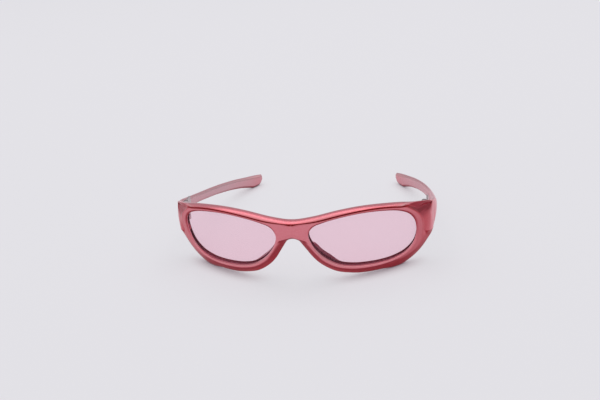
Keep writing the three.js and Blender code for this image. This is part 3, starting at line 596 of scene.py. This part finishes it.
def paint_material():
    """Metallic pearl lacquer under a glossy clear coat, with light and shade painted into its colour: pale pink as a
    painted highlight where the surface looks up, deep red as painted shade where it looks down, dark painted shade in
    the groove and the apertures."""
    mat = bpy.data.materials.new("pearl_red_lacquer")
    nt, out = nodes_of(mat)
    tc = nt.nodes.new("ShaderNodeTexCoord")
    obj = tc.outputs["Object"]
    xyz = nt.nodes.new("ShaderNodeSeparateXYZ")
    link(nt, tc.outputs["Normal"], xyz.inputs[0])
    up = nt.nodes.new("ShaderNodeMapRange")
    up.inputs["From Min"].default_value, up.inputs["From Max"].default_value = -1, 1
    link(nt, xyz.outputs["Z"], up.inputs["Value"])
    # painted light and shade: the base colour lighter on upward faces, darker on downward faces
    base = ramp(nt, up.outputs["Result"], FACING_LIGHT_SHADE_STOPS)
    cloud = noise(nt, obj, 140, 3.0, 0.55)
    flecked = blend(nt, cloud.outputs["Fac"], base.outputs["Color"], (0.16, 0.02, 0.035, 1), 0.10)
    grain = ramp(nt, noise(nt, obj, 1500, 2.0, 0.7).outputs["Fac"], [(0.40, (0, 0, 0, 1)), (0.62, (1, 1, 1, 1))])
    # pale flecks show mostly on upward faces: a painted glint
    above = nt.nodes.new("ShaderNodeMapRange")
    above.inputs["From Min"].default_value, above.inputs["From Max"].default_value = 0.36, 0.52
    link(nt, up.outputs["Result"], above.inputs["Value"])
    pale = nt.nodes.new("ShaderNodeMath")
    pale.operation = "MULTIPLY_ADD"
    pale.inputs[1].default_value, pale.inputs[2].default_value = 0.85, 0.15
    link(nt, above.outputs["Result"], pale.inputs[0])
    shown = nt.nodes.new("ShaderNodeMath")
    shown.operation = "MULTIPLY"
    link(nt, grain.outputs["Color"], shown.inputs[0])
    link(nt, pale.outputs[0], shown.inputs[1])
    flecked = blend(nt, shown.outputs[0], flecked, (0.95, 0.48, 0.50, 1), 0.16)
    flake = nt.nodes.new("ShaderNodeTexVoronoi")
    flake.inputs["Scale"].default_value = 5200
    link(nt, obj, flake.inputs["Vector"])
    spark = ramp(nt, flake.outputs["Color"], [(0.0, (0, 0, 0, 1)), (0.72, (0, 0, 0, 1)), (1.0, (1, 1, 1, 1))])
    col = blend(nt, spark.outputs["Color"], flecked, (0.90, 0.50, 0.52, 1), 0.16)
    # a pale colour at grazing angles on upward-turned faces: a painted sheen
    graze = nt.nodes.new("ShaderNodeLayerWeight")
    power = nt.nodes.new("ShaderNodeMath")
    power.operation = "POWER"
    power.inputs[1].default_value = 3.5
    link(nt, graze.outputs["Facing"], power.inputs[0])
    grazing_sheen = nt.nodes.new("ShaderNodeMath")
    grazing_sheen.operation = "MULTIPLY"
    link(nt, power.outputs[0], grazing_sheen.inputs[0])
    link(nt, above.outputs["Result"], grazing_sheen.inputs[1])
    col = blend(nt, grazing_sheen.outputs[0], col, (0.88, 0.84, 0.87, 1), 0.85)
    # the temples' paler inner panel is their own colour; the same pale colour on their tops is a painted highlight
    col = blend(nt, mark(nt, "inner_panel_and_top_highlight"), col, INNER_PANEL_AND_TOP_HIGHLIGHT, 0.8)
    # painted shade in the groove, on the scoop and on the undercut of the lower rims
    col = blend(nt, mark(nt, "groove_shade"), col, GROOVE_SHADE_RED, 0.85)
    # painted shade in the apertures and on the scoop
    col = blend(nt, mark(nt, "recess_shade"), col, RECESS_SHADE_RED, 0.94)
    b = nt.nodes.new("ShaderNodeBsdfPrincipled")
    link(nt, col, b.inputs["Base Color"])
    b.inputs["Metallic"].default_value = 0.7
    b.inputs["Specular IOR Level"].default_value = 0.2
    b.inputs["Specular Tint"].default_value = (1.0, 0.50, 0.54, 1)
    rough = noise(nt, obj, 420, 2.0)
    rr = nt.nodes.new("ShaderNodeMapRange")
    rr.inputs["To Min"].default_value, rr.inputs["To Max"].default_value = 0.26, 0.36
    link(nt, rough.outputs["Fac"], rr.inputs["Value"])
    link(nt, rr.outputs["Result"], b.inputs["Roughness"])
    b.inputs["Coat Weight"].default_value = 0.28
    b.inputs["Coat Roughness"].default_value = 0.09
    fine = nt.nodes.new("ShaderNodeBump")
    fine.inputs["Strength"].default_value = 0.12
    fine.inputs["Distance"].default_value = 0.00003
    peel = noise(nt, obj, 900, 2.0)
    link(nt, peel.outputs["Fac"], fine.inputs["Height"])
    link(nt, fine.outputs["Normal"], b.inputs["Normal"])
    link(nt, b.outputs["BSDF"], out.inputs["Surface"])
    return mat


# painted light and shade: the base colour by how far the surface looks up (0 straight down, 1 straight up), lighter
# where it faces the light, darker facing down
FACING_LIGHT_SHADE_STOPS = [(0.0, (0.18, 0.006, 0.012, 1)), (0.32, (0.34, 0.014, 0.028, 1)), (0.43, (0.76, 0.20, 0.24, 1)),
               (0.51, (0.80, 0.225, 0.27, 1)), (0.64, (0.84, 0.28, 0.31, 1)), (0.80, (0.97, 0.52, 0.53, 1)),
               (0.91, (0.74, 0.22, 0.25, 1)), (1.0, (0.50, 0.09, 0.12, 1))]
# painted shade colours for the groove and the apertures, and the temples' pale inner colour, also a painted highlight
# on their tops
GROOVE_SHADE_RED, RECESS_SHADE_RED, INNER_PANEL_AND_TOP_HIGHLIGHT = (0.46, 0.004, 0.016, 1), (0.15, 0.012, 0.036, 1), (0.60, 0.44, 0.475, 1)


def lens_material():
    """Pale pink tint: most light passes with the tint, and the polished faces mirror a little."""
    mat = bpy.data.materials.new("pink_tint_lens")
    nt, out = nodes_of(mat)
    tc = nt.nodes.new("ShaderNodeTexCoord")
    clear = nt.nodes.new("ShaderNodeBsdfTransparent")
    streak = noise(nt, tc.outputs["Object"], 26, 2.0)
    tint = ramp(nt, streak.outputs["Fac"], [(0.3, (1.0, 0.866, 0.912, 1)), (0.7, (1.0, 0.878, 0.922, 1))])
    link(nt, tint.outputs["Color"], clear.inputs["Color"])
    body = nt.nodes.new("ShaderNodeBsdfPrincipled")
    body.inputs["Base Color"].default_value = (1.0, 0.58, 0.68, 1)
    smear = noise(nt, tc.outputs["Object"], 60, 4.0, 0.6)
    rr = nt.nodes.new("ShaderNodeMapRange")
    rr.inputs["To Min"].default_value, rr.inputs["To Max"].default_value = 0.05, 0.13
    link(nt, smear.outputs["Fac"], rr.inputs["Value"])
    link(nt, rr.outputs["Result"], body.inputs["Roughness"])
    mix = nt.nodes.new("ShaderNodeMixShader")
    mix.inputs[0].default_value = 0.045
    link(nt, clear.outputs[0], mix.inputs[1])
    link(nt, body.outputs[0], mix.inputs[2])
    link(nt, mix.outputs[0], out.inputs["Surface"])
    return mat


def steel_material():
    mat = bpy.data.materials.new("hinge_steel")
    nt, out = nodes_of(mat)
    tc = nt.nodes.new("ShaderNodeTexCoord")
    b = nt.nodes.new("ShaderNodeBsdfPrincipled")
    grain = noise(nt, tc.outputs["Object"], 1500, 3.0)
    # the pink tint of the steel colour is a painted reflection of the pink lacquer round it
    col = ramp(nt, grain.outputs["Fac"], [(0.3, (0.46, 0.37, 0.38, 1)), (0.7, (0.58, 0.47, 0.48, 1))])
    link(nt, col.outputs["Color"], b.inputs["Base Color"])
    b.inputs["Metallic"].default_value = 1.0
    rr = nt.nodes.new("ShaderNodeMapRange")
    rr.inputs["To Min"].default_value, rr.inputs["To Max"].default_value = 0.22, 0.36
    link(nt, grain.outputs["Fac"], rr.inputs["Value"])
    link(nt, rr.outputs["Result"], b.inputs["Roughness"])
    bump = nt.nodes.new("ShaderNodeBump")
    bump.inputs["Strength"].default_value = 0.15
    bump.inputs["Distance"].default_value = 0.00002
    link(nt, grain.outputs["Fac"], bump.inputs["Height"])
    link(nt, bump.outputs["Normal"], b.inputs["Normal"])
    link(nt, b.outputs["BSDF"], out.inputs["Surface"])
    return mat


PAINT, TINT, STEEL = paint_material(), lens_material(), steel_material()

# ------------------------------------------------------------------ pieces
front = build_front()
front.data.materials.append(PAINT)
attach(front, "front")
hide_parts("front_frame")

for label, side in (("right", 1), ("left", -1)):
    lens = build_lens(side)
    lens.data.materials.append(TINT)
    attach(lens, "front")
    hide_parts("lens_" + label)
    temple = build_temple(side)
    temple.data.materials.append(PAINT)
    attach(temple, "temple_arm_" + label)
    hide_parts("temple_" + label)
    for node in ("hinge_front_leaf_", "hinge_temple_leaf_", "hinge_screw_", "front_leaf_screw_", "temple_leaf_screw_"):
        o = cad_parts[node + label]
        if not o.material_slots:
            o.data.materials.append(STEEL)
        for s in o.material_slots:
            s.link = "OBJECT"
            s.material = STEEL
        o.data.polygons.foreach_set("use_smooth", [True] * len(o.data.polygons))
        o.data.set_sharp_from_angle(angle=math.radians(30))

# ------------------------------------------------------------------ stage, light, camera
def floor_material():
    mat = bpy.data.materials.new("studio_white")
    nt, out = nodes_of(mat)
    b = nt.nodes.new("ShaderNodeBsdfPrincipled")
    b.inputs["Base Color"].default_value = (0.215, 0.212, 0.218, 1)
    # a glowing table: its glow keeps the wide shadows light; ambient occlusion darkens the glow where the rims touch
    # down, a painted contact shadow with a pink tint
    contact_shadow = nt.nodes.new("ShaderNodeAmbientOcclusion")
    contact_shadow.inputs["Distance"].default_value = 0.0075
    contact_shadow.samples = 5
    glow = ramp(nt, contact_shadow.outputs["AO"], [(0.12, (0.12, 0.07, 0.10, 1)), (0.40, (0.68, 0.60, 0.655, 1)), (0.72, (0.955, 0.92, 0.965, 1)), (0.97, (0.965, 0.955, 1.0, 1))])
    link(nt, glow.outputs["Color"], b.inputs["Emission Color"])
    b.inputs["Emission Strength"].default_value = 0.575
    b.inputs["Roughness"].default_value = 0.9
    b.inputs["Specular IOR Level"].default_value = 0.1
    link(nt, b.outputs["BSDF"], out.inputs["Surface"])
    return mat


def turned_surface(name, profile):
    """A round stage piece: a profile of radius and height turned about the middle."""
    bm = bmesh.new()
    sides = 96
    rings = []
    for r, z in profile:
        if r == 0:
            rings.append([bm.verts.new((0, 0, z))])
        else:
            rings.append([bm.verts.new((r * math.cos(2 * math.pi * k / sides), r * math.sin(2 * math.pi * k / sides), z)) for k in range(sides)])
    for low, high in zip(rings, rings[1:]):
        for k in range(sides):
            m = (k + 1) % sides
            bm.faces.new([low[0], high[k], high[m]] if len(low) == 1 else [low[k], high[k], high[m], low[m]])
    ob = new_object(name, bm)
    finish_mesh(ob)
    return ob


TABLE = floor_material()
floor = turned_surface("studio_floor", [(0, -0.00002), (0.8, -0.00002), (1.6, -0.00002)])
floor.data.materials.append(TABLE)
# the cove round the table closes the view and casts no light of its own
cove = turned_surface("studio_cove", [(1.6, -0.00002)] + [(1.6 + 1.2 * math.sin(a), 1.2 - 1.2 * math.cos(a)) for a in np.linspace(0, math.pi / 2, 16)[1:]] + [(2.8, 3.0)])
cove.data.materials.append(TABLE)
cove.visible_diffuse = cove.visible_glossy = cove.visible_shadow = False


def area(name, loc, target, size, power, color=(1, 1, 1), size_y=None):
    light = bpy.data.lights.new(name, "AREA")
    light.energy = power
    light.color = color
    light.size = size
    if size_y:
        light.shape = "RECTANGLE"
        light.size_y = size_y
    ob = bpy.data.objects.new(name, light)
    bpy.context.scene.collection.objects.link(ob)
    ob.location = loc
    ob.rotation_euler = (Vector(target) - Vector(loc)).to_track_quat("-Z", "Y").to_euler()
    return ob


area("overhead_soft", (0.0, 0.35, 1.5), (0, 0, 0), 1.5, 6, size_y=1.1)

WALL = 0.36
# the studio: a large soft ceiling that falls off towards the walls
world = bpy.data.worlds.new("studio")
bpy.context.scene.world = world
world.use_nodes = True
wt = world.node_tree
backdrop = wt.nodes["Background"]
where = wt.nodes.new("ShaderNodeTexCoord")
axes = wt.nodes.new("ShaderNodeSeparateXYZ")
wt.links.new(where.outputs["Generated"], axes.inputs[0])
g = lambda v: (0.965 * v, 0.962 * v, v, 1)
glow = ramp(wt, axes.outputs["Z"], [(0.0, g(WALL)), (0.25, g(0.46)), (0.5, g(0.62)), (0.75, g(0.92)), (1.0, g(1.0))])
wt.links.new(glow.outputs["Color"], backdrop.inputs[0])
backdrop.inputs[1].default_value = 1.0

cam_data = bpy.data.cameras.new("camera")
cam = bpy.data.objects.new("camera", cam_data)
bpy.context.scene.collection.objects.link(cam)
bpy.context.scene.camera = cam
AZ, EL, ROLL, DIST, FOCAL = 11.18010639, 24.03883025, -4.89752071, 366.64687293, 770.1212530908534
TARGET = np.array([1.43213802, 20.0, 34.76089476])
a, e, r = map(math.radians, (AZ, EL, ROLL))
back = np.array([math.sin(a) * math.cos(e), -math.cos(a) * math.cos(e), math.sin(e)])
right_v = np.array([math.cos(a), math.sin(a), 0.0])
up = np.cross(back, right_v)
cx, cy = math.cos(r) * right_v + math.sin(r) * up, -math.sin(r) * right_v + math.cos(r) * up
place = to_world(TARGET + back * DIST)
from mathutils import Matrix
cam.matrix_world = Matrix([[cx[0], cy[0], back[0], place[0]], [cx[1], cy[1], back[1], place[1]], [cx[2], cy[2], back[2], place[2]], [0, 0, 0, 1]])
cam_data.sensor_fit = "HORIZONTAL"
cam_data.sensor_width = 36
cam_data.lens = FOCAL / 600 * 36
cam_data.clip_start, cam_data.clip_end = 0.01, 20
cam_data.dof.use_dof = False
bpy.context.scene.view_settings.view_transform = "Standard"

bpy.context.view_layer.update()
